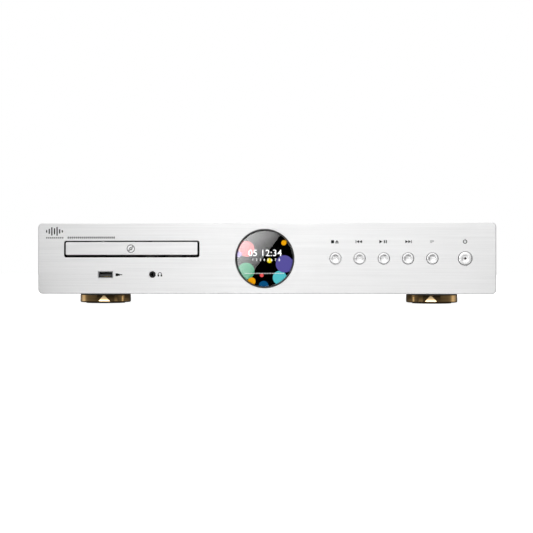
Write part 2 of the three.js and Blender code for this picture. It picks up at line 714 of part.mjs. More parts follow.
add(player, "front_panel", frontPanel(), brushedAluminium);
add(player, "base_pan", basePan(), zincSteel);
add(player, "rear_panel", rearPanel(), coverPaint);
add(player, "top_cover", topCover(), coverPaint);

for (const [corner, spot] of Object.entries(FEET)) {
  add(player, `foot_${corner}`, foot(spot), goldAnodised);
  add(player, `foot_pad_${corner}`, rodZ(spot.x, spot.y, spot.pad, 0, 2.2, 24), rubber);
  const screwY = SCREW.y[spot.y < 0 ? 0 : 1];
  add(player, `cover_screw_${corner}`, coverScrew(Math.sign(spot.x), screwY), zincSteel);
}

const ringProfile = [
  [DISPLAY.glass + 0.2, -149.8],
  [DISPLAY.ring, -149.8],
  [DISPLAY.ring, PANEL.back - 0.4],
  [DISPLAY.glass + 0.2, PANEL.back - 0.4],
  [DISPLAY.glass + 0.2, -149.8],
];
add(player, "display_bezel", turnedY(ringProfile, 48, DISPLAY.x, DISPLAY.z), darkRing);
add(player, "display_glass", rodY(DISPLAY.x, DISPLAY.z, DISPLAY.glass, -149, -146.8, 48), glass);
add(player, "display_module", displayModule(), blackPlastic);
add(player, "control_board", controlBoard(), boardGreen);
add(player, "usb_socket", usbShell(), zincSteel);
add(player, "usb_tongue", usbTongue(), blackPlastic);
add(player, "headphone_jack", headphoneJack(), blackPlastic);

const buttonNames = ["stop_button", "previous_button", "play_button", "next_button", "source_button"];
buttonXs.forEach((x, i) => {
  add(player, buttonNames[i], turnedY(buttonProfile(BUTTON.radius, 1, 0), 16, x, BUTTON.z), brushedAluminium);
});
add(player, "power_button", turnedY(buttonProfile(POWER.radius, 0.9, POWER.light + 0.2), 20, POWER.x, BUTTON.z), brushedAluminium);
add(player, "power_light", rodY(POWER.x, BUTTON.z, POWER.light, -148.9, -140, 12), blackPlastic);

add(player, "disc_tray", discTray(), greyPlastic);
add(player, "tray_door", trayDoor(), brushedAluminium);
add(player, "loader_frame", loaderFrame(), blackPlastic);
add(player, "clamp_bridge", clampBridge(), zincSteel);
add(player, "clamp_puck", clampPuck(), blackPlastic);
add(player, "loading_motor", loadingMotor(), zincSteel);
add(player, "motor_pulley", turned(pulleyProfile(4, 2.5, 1.2), 14, MOTOR.x, MOTOR.y), whitePlastic);
add(player, "pulley_gear", pulleyGear(), whitePlastic);
add(player, "tray_gear", trayGear(), whitePlastic);
add(player, "drive_belt", driveBelt(), rubber);

// The cradle is drawn raised and stored dropped, so it hangs in a group turned about its pivot.
const cradle = new THREE.Group();
cradle.position.set(0, CRADLE.pivotY, CRADLE.pivotZ);
cradle.rotation.x = (CRADLE.dropAngle * Math.PI) / 180;
const raised = new THREE.Group();
raised.position.set(0, -CRADLE.pivotY, -CRADLE.pivotZ);
cradle.add(raised);
player.add(cradle);
add(raised, "cradle_plate", cradlePlate(), zincSteel);
add(raised, "spindle_motor", spindleMotor(), zincSteel);
add(raised, "turntable", turntable(), blackPlastic);
add(raised, "guide_rod_left", rodY(DRAWER.x - ROD.offset, ROD.z, ROD.radius, ROD.front, ROD.rear, 12), zincSteel);
add(raised, "guide_rod_right", rodY(DRAWER.x + ROD.offset, ROD.z, ROD.radius, ROD.front, ROD.rear, 12), zincSteel);
add(raised, "pickup_body", pickupBody(), blackPlastic);
add(raised, "lens", lens(), lensBlue);
add(raised, "sled_motor", sledMotor(), zincSteel);
add(raised, "sled_gear", sledGear(), whitePlastic);

add(player, "transformer_core", transformerCore(), copperWinding);
add(player, "main_board", mainBoard(), boardGreen);
add(player, "reservoir_capacitor_left", capacitor(20, 48), blackPlastic);
add(player, "reservoir_capacitor_right", capacitor(46, 48), blackPlastic);
add(player, "heat_sink", heatSink(), blackPlastic);
add(player, "mains_inlet", mainsInlet(), blackPlastic);
add(player, "inlet_blades", inletBlades(), zincSteel);
["rca_socket_left", "rca_socket_right", "coaxial_socket"].forEach((name, i) => {
  add(player, name, rcaSocket(rcaXs[i]), goldPlate);
});
add(player, "optical_socket", opticalSocket(), blackPlastic);

export default player;
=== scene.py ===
import json
import math

import bmesh
import bpy
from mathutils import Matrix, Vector


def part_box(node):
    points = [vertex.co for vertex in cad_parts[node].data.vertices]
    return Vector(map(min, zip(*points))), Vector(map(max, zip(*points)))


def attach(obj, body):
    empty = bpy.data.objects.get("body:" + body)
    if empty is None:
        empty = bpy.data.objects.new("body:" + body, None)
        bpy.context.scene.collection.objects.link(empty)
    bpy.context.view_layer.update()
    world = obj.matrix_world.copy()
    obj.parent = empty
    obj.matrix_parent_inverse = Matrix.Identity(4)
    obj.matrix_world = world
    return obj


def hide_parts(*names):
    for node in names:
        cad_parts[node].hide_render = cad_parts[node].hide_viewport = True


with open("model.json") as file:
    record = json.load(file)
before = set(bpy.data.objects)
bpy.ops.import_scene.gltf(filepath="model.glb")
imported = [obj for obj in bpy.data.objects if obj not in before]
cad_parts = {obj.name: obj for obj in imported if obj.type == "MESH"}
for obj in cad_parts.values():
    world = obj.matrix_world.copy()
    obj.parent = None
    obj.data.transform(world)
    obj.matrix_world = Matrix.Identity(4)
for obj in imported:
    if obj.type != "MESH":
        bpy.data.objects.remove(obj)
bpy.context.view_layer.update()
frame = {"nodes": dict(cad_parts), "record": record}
NODES = frame["nodes"]
MM = 0.001


def node_box(name):
    """Lowest and highest corner of a CAD node, in millimetres."""
    low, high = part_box(name)
    return Vector(low) / MM, Vector(high) / MM


# ---- Driving dimensions, the same as the CAD model's -------------------------------------------

PANEL_LOW, PANEL_HIGH = node_box("front_panel")
FRONT = PANEL_LOW.y
PANEL_BACK = PANEL_HIGH.y
PANEL_CORNER = 4.2
DISPLAY_X, DISPLAY_Z = 0.0, 43.0
DISPLAY_RADIUS = 26.2
DISPLAY_HOLE = 27.7
DISPLAY_RING = 27.5
BUTTON_Z = 43.0
BUTTON_NAMES = ["stop_button", "previous_button", "play_button", "next_button", "source_button"]
BUTTON_RADIUS, BUTTON_HOLE = 5.2, 5.6
POWER_RADIUS, POWER_HOLE, LAMP_RADIUS = 6.2, 6.6, 1.08
SYMBOL_Z = 58.7
BUTTON_PROUD = 0.8
STEM_END = -137.6
USB_X, USB_Z = -150.6, 27.9
USB_HALF_WIDTH, USB_HALF_HEIGHT = 7.1, 3.2
JACK_X, JACK_Z, JACK_HOLE = -106.0, 28.0, 3.1
TRANSFORMER_X, TRANSFORMER_Y = 150, -48
SIDE_SCREW_Z, SIDE_SCREW_YS = 24, (-100, 100)
DRAWER = (-190.1, -61.6, 44.2, 59.8)  # left, right, bottom and top of the drawer's opening


def centre_x(name):
    low, high = node_box(name)
    return (low.x + high.x) / 2


BUTTON_XS = [centre_x(n) for n in BUTTON_NAMES]
POWER_X = centre_x("power_button")



def linked(name, data):
    """A new object in the scene."""
    thing = bpy.data.objects.new(name, data)
    bpy.context.scene.collection.objects.link(thing)
    return thing


# ---- Camera ----------------------------------------------------------------------------------

CAMERA_X, CAMERA_Z = 57.3, 32.5
CAMERA_AWAY = 1029.5  # from the faceplate's front
camera_data = bpy.data.cameras.new("camera")
camera_data.sensor_width = 36
camera_data.lens = 74.3
camera_data.clip_start = 10 * MM
camera_data.clip_end = 50000 * MM
camera = linked("camera", camera_data)
camera.location = (CAMERA_X * MM, (FRONT - CAMERA_AWAY) * MM, CAMERA_Z * MM)
camera.rotation_euler = (math.radians(90.17), 0, math.radians(3.09))
bpy.context.scene.camera = camera

# ---- Mesh helpers ----------------------------------------------------------------------------

FLAT = 12  # degrees: a plate's face stays flat up to its bevel, and its round holes stay smooth


def welded(mesh, scale=1.0):
    """Join a mesh's doubled corners, turn its faces outward and scale it."""
    made = bmesh.new()
    made.from_mesh(mesh)
    bmesh.ops.remove_doubles(made, verts=made.verts, dist=1e-4)
    bmesh.ops.recalc_face_normals(made, faces=made.faces)
    bmesh.ops.scale(made, vec=(scale, scale, scale), verts=made.verts)
    made.to_mesh(mesh)
    made.free()


def paint(mesh, material):
    mesh.materials.clear()
    mesh.materials.append(material)


def finished(name, mesh, material, body, replaces=(), angle=30):
    """A mesh in millimetres becomes a shaded piece that rides on a body."""
    welded(mesh, MM)
    mesh.name = name
    mesh.shade_smooth()
    mesh.set_sharp_from_angle(angle=math.radians(angle))
    paint(mesh, material)
    piece = linked(name, mesh)
    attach(piece, body)
    if replaces:
        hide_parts(*replaces)
    return piece


def evaluated(holder):
    """The mesh that a helper object gives with its modifiers; the helper is removed."""
    bpy.context.view_layer.update()
    mesh = bpy.data.meshes.new_from_object(holder.evaluated_get(bpy.context.evaluated_depsgraph_get()))
    bpy.data.objects.remove(holder)
    return mesh


def lathe(profile, segments, axis, centre=(0, 0, 0)):
    """A profile of (radius, height) turned about Y or Z through a centre."""
    mesh = bpy.data.meshes.new("lathe")
    made = bmesh.new()

    def point(r, h, angle):
        a, b = r * math.cos(angle), r * math.sin(angle)
        place = (a, h, b) if axis == "Y" else (a, b, h)
        return Vector(place) + Vector(centre)

    angles = [2 * math.pi * i / segments for i in range(segments)]
    rows = []
    for r, h in profile:
        if r < 1e-6:
            rows.append([made.verts.new(point(0, h, 0))])
        else:
            rows.append([made.verts.new(point(r, h, angle)) for angle in angles])
    for low, high in zip(rows, rows[1:]):
        for i in range(segments):
            j = (i + 1) % segments
            corners = [low[i % len(low)], low[j % len(low)], high[j % len(high)], high[i % len(high)]]
            unique = list(dict.fromkeys(corners))
            if len(unique) > 2:
                made.faces.new(unique)
    made.to_mesh(mesh)
    made.free()
    return mesh


def outline_mesh(loops, half_depth=0.0, bevel=0.0):
    """Closed outlines in X and Y, with the holes inside them, as a flat or a solid mesh."""
    curve = bpy.data.curves.new("outline", "CURVE")
    curve.dimensions = "2D"
    curve.fill_mode = "BOTH"
    for loop in loops:
        spline = curve.splines.new("POLY")
        spline.points.add(len(loop) - 1)
        for spot, (u, v) in zip(spline.points, loop):
            spot.co = (u, v, 0, 1)
        spline.use_cyclic_u = True
    curve.extrude = half_depth
    curve.bevel_depth = bevel
    curve.bevel_resolution = 2
    mesh = evaluated(linked("outline", curve))
    bpy.data.curves.remove(curve)
    return mesh


def plate(loops, depth0, depth1, bevel=0.0, facing="Y"):
    """Closed outlines, and the holes inside them, made solid between two depths.

    Facing Y, the outlines are in X and Z. Facing Z, they are in X and Y. A bevel grows the outline by
    its width."""
    mesh = outline_mesh(loops, (depth1 - depth0) / 2 - bevel, bevel)
    middle = (depth0 + depth1) / 2
    for vertex in mesh.vertices:
        u, v, w = vertex.co
        vertex.co = (u, middle - w, v) if facing == "Y" else (u, v, middle + w)
    return mesh


def filled(loops, depth):
    """Closed outlines in X and Z, with the holes inside them, filled at one depth."""
    mesh = outline_mesh(loops)
    for vertex in mesh.vertices:
        u, v, _ = vertex.co
        vertex.co = (u, depth, v)
    return mesh


def machined_plate(outlines, depth0, depth1):
    """A plate facing -Y, with rounded front edges.

    Each outline is (function of its growth, radius of its front edge, is it a hole)."""
    steps = 3
    made = bmesh.new()
    fronts, backs = [], []
    for outline, bevel, hole in outlines:
        sign = 1 if hole else -1
        stations = []
        for i in range(steps + 1):
            turn = math.pi / 2 * i / steps
            stations.append((sign * bevel * (1 - math.sin(turn)), depth0 + bevel * (1 - math.cos(turn))))
        stations.append((0.0, depth1))
        rows = [[made.verts.new((u, depth, v)) for u, v in outline(grow)] for grow, depth in stations]
        for low, high in zip(rows, rows[1:]):
            for i in range(len(low)):
                j = (i + 1) % len(low)
                made.faces.new([low[i], low[j], high[j], high[i]])
        fronts.append(outline(stations[0][0]))
        backs.append(outline(0.0))
    walls = bpy.data.meshes.new("walls")
    made.to_mesh(walls)
    made.free()
    return joined(walls, filled(fronts, depth0), filled(backs, depth1))


def joined(*meshes):
    """Several meshes as one."""
    made = bmesh.new()
    for mesh in meshes:
        made.from_mesh(mesh)
    together = bpy.data.meshes.new("joined")
    made.to_mesh(together)
    made.free()
    return together


def circle(x, z, r, steps):
    angles = [2 * math.pi * i / steps for i in range(steps)]
    return [(x + r * math.cos(a), z + r * math.sin(a)) for a in angles]


def bar(x0, x1, z0, z1):
    return [(x0, z0), (x1, z0), (x1, z1), (x0, z1)]


def tube(inner, outer, start, end):
    """The closed profile of a plain ring, as (radius, height), for the lathe."""
    return [(inner, start), (outer, start), (outer, end), (inner, end), (inner, start)]


def rounded(x0, x1, z0, z1, r, steps=6):
    """A rectangle with round corners."""
    loop = []
    corners = [(x1 - r, z0 + r, -90), (x1 - r, z1 - r, 0), (x0 + r, z1 - r, 90), (x0 + r, z0 + r, 180)]
    for cx, cz, start in corners:
        for i in range(steps + 1):
            a = math.radians(start + 90 * i / steps)
            loop.append((cx + r * math.cos(a), cz + r * math.sin(a)))
    return loop


def cut(name, mesh, cutters, material, body, replaces):
    """A piece with closed cutter meshes taken away, one after the other."""
    welded(mesh)
    target = linked("target", mesh)
    tools = []
    for cutter in cutters:
        welded(cutter)
        tools.append(linked("tool", cutter))
        modifier = target.modifiers.new("cut", "BOOLEAN")
        modifier.operation = "DIFFERENCE"
        modifier.solver = "EXACT"
        modifier.object = tools[-1]
    result = evaluated(target)
    for tool in tools:
        bpy.data.objects.remove(tool)
    finished(name, result, material, body, replaces)


# ---- Material helpers ------------------------------------------------------------------------


class Shader:
    """A material being built: its node tree, its principled shader, and short ways to add nodes."""

    def __init__(self, name, color, metallic=0.0, roughness=0.5, **sockets):
        self.material = bpy.data.materials.new(name)
        self.material.use_nodes = True
        self.tree = self.material.node_tree
        self.bsdf = self.tree.nodes["Principled BSDF"]
        self.bsdf.inputs["Base Color"].default_value = (*color, 1)
        self.bsdf.inputs["Metallic"].default_value = metallic
        self.bsdf.inputs["Roughness"].default_value = roughness
        for key, value in sockets.items():
            self.bsdf.inputs[key.replace("_", " ")].default_value = value

    def add(self, kind, **settings):
        node = self.tree.nodes.new(kind)
        for key, value in settings.items():
            setattr(node, key, value)
        return node

    def link(self, source, target):
        self.tree.links.new(source, target)

    def coordinates(self, scale):
        """Object coordinates, in metres, stretched by a scale for each axis."""
        place = self.add("ShaderNodeTexCoord")
        stretch = self.add("ShaderNodeMapping")
        stretch.inputs["Scale"].default_value = scale
        self.link(place.outputs["Object"], stretch.inputs["Vector"])
        return stretch.outputs["Vector"]

    def noise(self, scale, detail=2.0, roughness=0.5):
        """Noise whose features are about 1 / scale metres long on each axis."""
        node = self.add("ShaderNodeTexNoise")
        node.inputs["Scale"].default_value = 1.0
        node.inputs["Detail"].default_value = detail
        node.inputs["Roughness"].default_value = roughness
        self.link(self.coordinates(scale), node.inputs["Vector"])
        return node.outputs["Fac"]

    def spread(self, source, low, high):
        """The middle of a noise's range mapped to another range."""
        node = self.add("ShaderNodeMapRange")
        node.inputs["From Min"].default_value = 0.3
        node.inputs["From Max"].default_value = 0.7
        node.inputs["To Min"].default_value = low
        node.inputs["To Max"].default_value = high
        self.link(source, node.inputs["Value"])
        return node.outputs["Result"]

    def tint(self, source, dark, light):
        """Base colour between two colours."""
        node = self.add("ShaderNodeMix", data_type="RGBA")
        node.inputs["A"].default_value = (*dark, 1)
        node.inputs["B"].default_value = (*light, 1)
        self.link(self.spread(source, 0, 1), node.inputs["Factor"])
        self.link(node.outputs["Result"], self.bsdf.inputs["Base Color"])

    def rough(self, source, low, high):
        self.link(self.spread(source, low, high), self.bsdf.inputs["Roughness"])

    def bump(self, source, distance):
        """Surface relief, with its height in millimetres."""
        node = self.add("ShaderNodeBump")
        node.inputs["Strength"].default_value = 1.0
        node.inputs["Distance"].default_value = distance * MM
        self.link(source, node.inputs["Height"])
        self.link(node.outputs["Normal"], self.bsdf.inputs["Normal"])

    def round_tangent(self, axis):
        """A tangent that circles an axis through the object's origin; highlights stretch along it."""
        node = self.add("ShaderNodeTangent", direction_type="RADIAL", axis=axis)
        self.link(node.outputs["Tangent"], self.bsdf.inputs["Tangent"])


def grey(value):
    return (value, value, value)


# ---- Materials -------------------------------------------------------------------------------


def brushed_panel():
    """Aluminium brushed along X under clear anodising."""
    s = Shader("brushed_aluminium", grey(0.9), metallic=1.0, roughness=0.36, Anisotropic=0.55)
    fine = s.noise((14, 900, 1500), detail=3)
    s.tint(s.noise((9, 300, 700), detail=4, roughness=0.7), grey(0.858), grey(0.936))
    s.rough(fine, 0.33, 0.41)
    s.bump(fine, 0.010)
    s.round_tangent("X")
    return s.material


def turned_aluminium():
    """The buttons' faces: bright aluminium with a faint satin grain."""
    s = Shader("turned_aluminium", grey(0.85), metallic=1.0, roughness=0.28)
    grain = s.noise((1500, 1500, 1500), detail=2)
    s.tint(grain, grey(0.82), grey(0.88))
    s.rough(grain, 0.24, 0.32)
    s.bump(grain, 0.003)
    return s.material


def satin_paint():
    """Silver powder coat with its fine orange peel."""
    s = Shader("satin_paint", grey(0.7), metallic=0.35, roughness=0.42)
    peel = s.noise((900, 900, 900), detail=3)
    s.tint(s.noise((350, 350, 350), detail=5), (0.67, 0.675, 0.68), (0.705, 0.71, 0.715))
    s.rough(peel, 0.38, 0.48)
    s.bump(peel, 0.02)
    return s.material


def zinc_steel():
    """Zinc-plated sheet, with a faint spangle and rolling marks."""
    s = Shader("zinc_steel", grey(0.6), metallic=1.0, roughness=0.4)
    cells = s.add("ShaderNodeTexVoronoi")
    cells.inputs["Scale"].default_value = 230
    s.link(s.coordinates((1, 1, 1)), cells.inputs["Vector"])
    s.tint(cells.outputs["Color"], (0.585, 0.595, 0.605), (0.635, 0.645, 0.66))
    s.rough(s.noise((30, 400, 400), detail=4), 0.35, 0.45)
    s.bump(s.noise((20, 700, 700), detail=2), 0.006)
    return s.material


def gold_metal():
    """The feet: mirror-turned metal, gold anodised, with the faint rings that the lathe tool leaves."""
    s = Shader("gold_metal", (0.80, 0.52, 0.22), metallic=1.0, roughness=0.05)
    tool = s.noise((25, 25, 1900), detail=3)
    s.tint(tool, (0.62, 0.37, 0.14), (0.90, 0.60, 0.27))
    s.rough(tool, 0.035, 0.07)
    s.bump(tool, 0.0003)
    return s.material


def moulded(name, dark, light, roughness=0.5, grain=0.012, spec=0.5):
    """Moulded plastic with a fine spark-eroded grain."""
    s = Shader(name, light, roughness=roughness)
    s.bsdf.inputs["Specular IOR Level"].default_value = spec
    fine = s.noise((2600, 2600, 2600), detail=2)
    s.tint(s.noise((120, 120, 120), detail=5), dark, light)
    s.rough(fine, roughness - 0.06, roughness + 0.08)
    s.bump(fine, grain)
    return s.material


def soft_rubber():
    """Rubber with a dusty, uneven surface."""
    s = Shader("rubber", grey(0.03), roughness=0.85)
    dust = s.noise((500, 500, 500), detail=6, roughness=0.7)
    s.tint(dust, grey(0.018), grey(0.05))
    s.rough(dust, 0.75, 0.95)
    s.bump(dust, 0.05)
    return s.material


def charcoal_ring():
    """Charcoal anodised ring round the display, turned about the display's axis."""
    s = Shader("charcoal_ring", grey(0.10), metallic=1.0, roughness=0.28)
    grain = s.noise((900, 900, 900), detail=3)
    s.tint(grain, grey(0.085), grey(0.13))
    s.rough(grain, 0.24, 0.34)
    s.bump(grain, 0.003)
    return s.material


def clear_cover():
    """Clear glass, smoked a little, with faint polishing waves."""
    s = Shader("clear_glass", grey(0.98), roughness=0.0, Transmission_Weight=1.0, IOR=1.5)
    s.tint(s.noise((40, 40, 40), detail=2), grey(0.96), grey(1.0))
    s.bump(s.noise((18, 18, 18), detail=1), 0.00005)
    return s.material


def screen_black():
    """The screen's unlit area, bonded to the glass so that it has no gloss of its own."""
    s = Shader("screen_black", grey(0.002), roughness=0.9)
    s.bsdf.inputs["Specular IOR Level"].default_value = 0.0
    s.tint(s.noise((4000, 4000, 4000), detail=0), grey(0.0015), grey(0.003))
    return s.material


def lit(name, color, strength):
    """A lit area of the screen, with the fine grain of its pixels."""
    s = Shader(name, tuple(0.6 * c for c in color), roughness=0.9, Emission_Strength=strength)
    s.bsdf.inputs["Specular IOR Level"].default_value = 0.0
    pixels = s.noise((5000, 5000, 5000), detail=0)
    s.tint(pixels, tuple(0.04 * c for c in color), tuple(0.05 * c for c in color))
    mix = s.add("ShaderNodeMix", data_type="RGBA")
    mix.inputs["A"].default_value = (*[0.94 * c for c in color], 1)
    mix.inputs["B"].default_value = (*color, 1)
    s.link(s.spread(pixels, 0, 1), mix.inputs["Factor"])
    s.link(mix.outputs["Result"], s.bsdf.inputs["Emission Color"])
    return s.material


def ink(name, color):
    """Screen-printed ink with a slightly uneven edge to its gloss."""
    s = Shader(name, color, roughness=0.45, Specular_IOR_Level=0.2)
    fleck = s.noise((3000, 3000, 3000), detail=3)
    s.tint(fleck, tuple(0.8 * c for c in color), color)
    s.rough(fleck, 0.38, 0.52)
    s.bump(fleck, 0.004)
    return s.material


def circuit_board():
    """Green solder resist over faint copper tracks."""
    s = Shader("circuit_board", (0.02, 0.16, 0.07), roughness=0.35)
    bricks = s.add("ShaderNodeTexBrick")
    bricks.inputs["Scale"].default_value = 90
    bricks.inputs["Color1"].default_value = (0.02, 0.16, 0.07, 1)
    bricks.inputs["Color2"].default_value = (0.025, 0.19, 0.09, 1)
    bricks.inputs["Mortar"].default_value = (0.05, 0.27, 0.13, 1)
    s.link(s.coordinates((1, 1, 1)), bricks.inputs["Vector"])
    s.link(bricks.outputs["Color"], s.bsdf.inputs["Base Color"])
    s.rough(s.noise((300, 300, 300), detail=3), 0.3, 0.42)
    s.bump(bricks.outputs["Fac"], 0.03)
    return s.material


def winding_tape():
    """Yellow polyester tape wound over the transformer's ring."""
    s = Shader("winding_tape", (0.75, 0.45, 0.05), roughness=0.25)
    wraps = s.noise((220, 220, 30), detail=4)
    s.tint(wraps, (0.62, 0.34, 0.03), (0.86, 0.55, 0.08))
    s.rough(wraps, 0.2, 0.34)
    s.bump(wraps, 0.12)
    return s.material


def gold_plate():
    """Thin gold plate on turned brass."""
    s = Shader("gold_plate", (0.86, 0.62, 0.22), metallic=1.0, roughness=0.18)
    grain = s.noise((300, 3000, 300), detail=3)
    s.tint(grain, (0.80, 0.56, 0.18), (0.90, 0.67, 0.28))
    s.rough(grain, 0.14, 0.24)
    s.bump(grain, 0.003)
    return s.material


PANEL = brushed_panel()
TURNED = turned_aluminium()
PAINT = satin_paint()
ZINC = zinc_steel()
GOLD_FOOT = gold_metal()
BLACK = moulded("black_plastic", grey(0.012), grey(0.022), roughness=0.45)
# A near-black sheet for the walls of the drawer's gap: painted shade, not a finish of the player.
GAP_SHADE = moulded("gap_shade_black", grey(0.002), grey(0.004), roughness=0.9, grain=0.03, spec=0.05)
GREY = moulded("grey_plastic", grey(0.045), grey(0.065), roughness=0.55, grain=0.03)
WHITE = moulded("white_plastic", (0.70, 0.68, 0.62), (0.80, 0.78, 0.72), roughness=0.45)
RED = moulded("red_plastic", (0.45, 0.02, 0.02), (0.58, 0.03, 0.03))
ORANGE = moulded("orange_plastic", (0.60, 0.18, 0.01), (0.75, 0.24, 0.02))
RUBBER = soft_rubber()
RING = charcoal_ring()
GLASS = clear_cover()
BOARD = circuit_board()
TAPE = winding_tape()
GOLD = gold_plate()
INK = ink("black_ink", grey(0.006))
GREY_INK = ink("grey_ink", grey(0.16))

BY_SLOT = {
    "brushed_aluminium": PANEL,
    "cover_paint": PAINT,
    "zinc_steel": ZINC,
    "gold_metal": GOLD_FOOT,
    "rubber": RUBBER,
    "dark_ring": RING,
    "clear_glass": GLASS,
    "black_plastic": BLACK,
    "grey_plastic": GREY,
    "white_plastic": WHITE,
    "circuit_board": BOARD,
    "winding_tape": TAPE,
    "gold_plate": GOLD,
    "lens_glass": GLASS,
}
for entry in frame["record"]["subparts"]:
    paint(NODES[entry["node"]].data, BY_SLOT[entry["material_slot"]])

# ---- Faceplate -------------------------------------------------------------------------------


def faceplate():
    """Milled front panel with its openings and the round holes of the buttons."""
    x0, x1, z0, z1 = PANEL_LOW.x, PANEL_HIGH.x, PANEL_LOW.z, PANEL_HIGH.z
    left, right, bottom, top = DRAWER

    def border(grow):
        return rounded(x0 - grow, x1 + grow, z0 - grow, z1 + grow, PANEL_CORNER + grow, 8)

    def drawer(grow):
        return rounded(left - grow, right + grow, bottom - grow, top + grow, 2 + grow)

    def usb(grow):
        w, h = USB_HALF_WIDTH + grow, USB_HALF_HEIGHT + grow
        return rounded(USB_X - w, USB_X + w, USB_Z - h, USB_Z + h, 0.7 + grow)

    def hole(x, z, r, steps):
        return lambda grow: circle(x, z, r + grow, steps)

    outlines = [
        (border, 0.55, False),
        (drawer, 0.3, True),
        (usb, 0.2, True),
        (hole(JACK_X, JACK_Z, JACK_HOLE, 40), 0.2, True),
        (hole(DISPLAY_X, DISPLAY_Z, DISPLAY_HOLE, 128), 0.3, True),
        (hole(POWER_X, BUTTON_Z, POWER_HOLE, 64), 0.12, True),
    ]
    outlines += [(hole(x, BUTTON_Z, BUTTON_HOLE, 56), 0.12, True) for x in BUTTON_XS]
    mesh = machined_plate(outlines, FRONT, PANEL_BACK)
    finished("faceplate", mesh, PANEL, "chassis", ["front_panel"], FLAT)


faceplate()

# ---- Drawer front ----------------------------------------------------------------------------


def drawer_front():
    low, high = node_box("tray_door")

    def border(grow):
        return rounded(low.x - grow, high.x + grow, low.z - grow, high.z + grow, 1.3 + grow)

    mesh = machined_plate([(border, 0.4, False)], FRONT, high.y)
    finished("drawer_front", mesh, PANEL, "tray", ["tray_door"], FLAT)


def drawer_gap_shade():
    """A near-black sheet on the walls of the drawer's opening, set back from the front face: painted
    shade that keeps the gap between drawer and faceplate dark.
    """
    left, right, bottom, top = DRAWER
    air, reach = 0.02, 0.32
    outer = rounded(left + air, right - air, bottom + air, top - air, 2.0)
    inner = rounded(left + reach, right - reach, bottom + reach, top - reach, 1.7)
    mesh = plate([outer, inner], FRONT + 0.5, PANEL_BACK)
    finished("drawer_gap_shade", mesh, GAP_SHADE, "chassis", angle=FLAT)


drawer_front()
drawer_gap_shade()

# ---- Display ---------------------------------------------------------------------------------

GLASS_FRONT = node_box("display_glass")[0].y
GLASS_BACK = node_box("display_glass")[1].y
SCREEN = node_box("display_module")[0].y
LAYER_STEP = 0.03
TOP_LAYER = 4  # the picture's numerals and seek bar


def display_ring():
    low, high = node_box("display_bezel")
    outer, inner = DISPLAY_RING, DISPLAY_RADIUS + 0.15
    profile = [
        (inner, GLASS_FRONT - 0.1),
        (inner + 0.25, low.y + 0.1),
        (inner + 0.4, low.y),
        (outer - 0.3, low.y),
        (outer, low.y + 0.3),
        (outer, high.y),
        (inner, high.y),
        (inner, GLASS_FRONT - 0.1),
    ]
    mesh = lathe(profile, 128, "Y", (DISPLAY_X, 0, DISPLAY_Z))
    finished("display_ring", mesh, RING, "chassis", ["display_bezel"])


def display_cover():
    r = DISPLAY_RADIUS
    profile = [(0, GLASS_FRONT), (r - 0.3, GLASS_FRONT), (r, GLASS_FRONT + 0.3)]
    profile += [(r, GLASS_BACK), (0, GLASS_BACK)]
    mesh = lathe(profile, 128, "Y", (DISPLAY_X, 0, DISPLAY_Z))
    finished("display_cover", mesh, GLASS, "chassis", ["display_glass"])


def on_screen(loops):
    """Flat outlines, relative to the display's centre, kept inside the glass."""
    reach = DISPLAY_RADIUS - 0.5
    kept = []
    for loop in loops:
        clipped = []
        for u, v in loop:
            far = math.hypot(u, v)
            k = min(1.0, reach / far) if far else 1.0
            clipped.append((DISPLAY_X + u * k, DISPLAY_Z + v * k))
        kept.append(clipped)
    return kept


def screen_piece(name, loops, color, strength, layer):
    """One lit shape of the picture. Higher layers lie nearer the glass."""
    y = SCREEN - 0.02 - LAYER_STEP * layer
    mesh = plate(on_screen(loops), y - 0.02, y)
    finished(name, mesh, lit(name, color, strength), "chassis")


# The screen's picture of coloured discs: centre and radius, from the display's centre, and colour.
DOTS = {
    "pink": (-17.1, 9.1, 7.4, (0.90, 0.28, 0.30)),
    "lavender": (-24.3, 4.0, 2.6, (0.42, 0.32, 0.75)),
    "green": (-17.6, -11.7, 7.9, (0.12, 0.52, 0.30)),
    "orange": (-12.3, -21.3, 3.6, (1.0, 0.42, 0.005)),
    "blue": (-1.1, -25.6, 4.6, (0.005, 0.10, 0.27)),
    "coral": (-2.9, -15.6, 1.8, (1.0, 0.11, 0.11)),
    "yellow": (4.4, -1.9, 2.3, (1.0, 0.83, 0.02)),
    "indigo": (18.4, -5.0, 8.1, (0.13, 0.11, 0.44)),
    "cyan": (14.0, -18.0, 6.5, (0.12, 0.70, 0.76)),
    "amber": (17.9, 14.8, 2.4, (1.0, 0.44, 0.005)),
}


def digits(name, text, size, x, z, value, spacing, weight, strength):
    """Numerals in the built-in font, centred on a point of the display, their strokes widened."""
    words = bpy.data.curves.new(name, "FONT")
    words.body = text
    words.size = size
    words.align_x = "CENTER"
    words.align_y = "CENTER"
    words.space_character = spacing
    words.offset = weight
    words.extrude = 0.02
    mesh = evaluated(linked(name, words))
    y = SCREEN - 0.04 - LAYER_STEP * TOP_LAYER
    for vertex in mesh.vertices:
        u, v, w = vertex.co
        vertex.co = (DISPLAY_X + x + u, y - w, DISPLAY_Z + z + v)
    finished(name, mesh, lit(name, grey(value), strength), "chassis")


